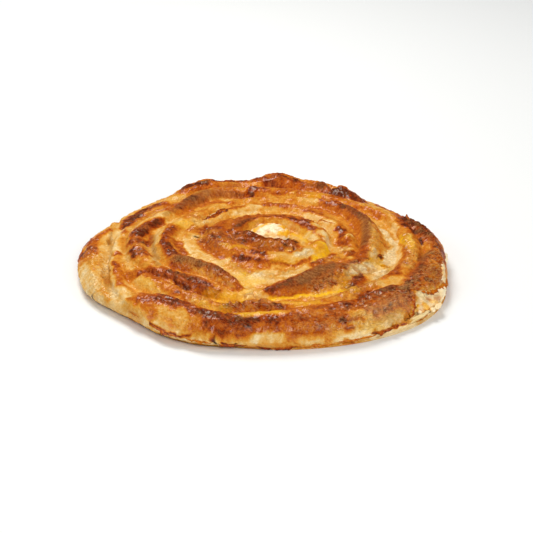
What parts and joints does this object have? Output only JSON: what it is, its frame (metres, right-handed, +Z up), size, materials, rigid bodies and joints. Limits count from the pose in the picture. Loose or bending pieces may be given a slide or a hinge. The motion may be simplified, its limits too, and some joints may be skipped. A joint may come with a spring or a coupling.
{
  "type": "cheese pie",
  "caption": "Round flat pie wound from one rope of thin pastry filled with white cheese, with ridged browned turns, a low dome and a flat underside.",
  "frame": {"origin": "middle of the flat underside, below the centre of the pie's box", "axes": "+Z up; +X to the right and +Y away, seen by someone who faces the side where the ends of the third turn meet; the filling has burst out on the +X side, towards -Y"},
  "size_m": [0.2917, 0.2905, 0.0312],
  "materials": {
    "baked_pastry": "egg-washed thin pastry baked golden to red-brown on the crests, cream in the valleys",
    "white_cheese": "moist white curd with yellow and brown baked spots"
  },
  "bodies": {
    "root": {"pastry_coil": "baked_pastry", "cheese_filling": "white_cheese"}
  },
  "joints": []
}
